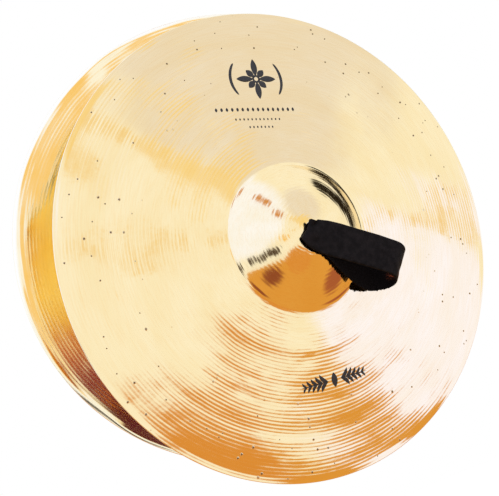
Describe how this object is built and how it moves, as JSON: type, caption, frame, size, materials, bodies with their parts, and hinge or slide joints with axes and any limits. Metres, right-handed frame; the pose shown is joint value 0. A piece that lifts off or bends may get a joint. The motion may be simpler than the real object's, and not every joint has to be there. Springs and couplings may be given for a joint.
{
  "type": "hand cymbals",
  "caption": "Pair of large bronze hand cymbals held face to face, each carried by a black leather strap looped through its domed bell and knotted inside.",
  "frame": {"origin": "where the rear strap leaves the hole of the rear bell, level with the bell's crown: the point the hand pinches", "axes": "+Y along the rear cymbal's axis, out of its bell; +Z upright, parallel to the line about which the pair opens and closes; the front cymbal lies towards -Y"},
  "size_m": [0.4763, 0.1806, 0.4802],
  "materials": {
    "bronze": "polished",
    "strap_leather": "matte",
    "black_ink": "matte"
  },
  "bodies": {
    "rear_plate": {"rear_cymbal": "bronze"},
    "rear_tie": {"rear_strap_neck": "strap_leather", "rear_strap_knot": "strap_leather"},
    "rear_loop": {"rear_strap_loop": "strap_leather"},
    "front_plate": {"front_cymbal": "bronze"},
    "front_tie": {"front_strap_neck": "strap_leather", "front_strap_knot": "strap_leather"},
    "front_loop": {"front_strap_loop": "strap_leather"}
  },
  "joints": [
    {"name": "clash", "type": "hinge", "parent": "rear_plate", "child": "front_plate", "pos_m": [0.2286, -0.04976, 0], "axis": [0, 0, 1], "range_deg": [-16, 45]},
    {"name": "rear_swivel", "type": "hinge", "parent": "rear_plate", "child": "rear_tie", "pos_m": [0, 0, 0], "axis": [0, 1, 0], "continuous": true},
    {"name": "rear_strap_bend", "type": "hinge", "parent": "rear_tie", "child": "rear_loop", "pos_m": [0, 0.0033, 0], "axis": [1, 0, 0], "range_deg": [0, 175]},
    {"name": "front_swivel", "type": "hinge", "parent": "front_plate", "child": "front_tie", "pos_m": [0.04172, -0.15771, -0.023], "axis": [0.2756, -0.9613, 0], "continuous": true},
    {"name": "front_strap_bend", "type": "hinge", "parent": "front_tie", "child": "front_loop", "pos_m": [0.04263, -0.16089, -0.023], "axis": [-0.6179, -0.1772, -0.766], "range_deg": [0, 175]}
  ]
}
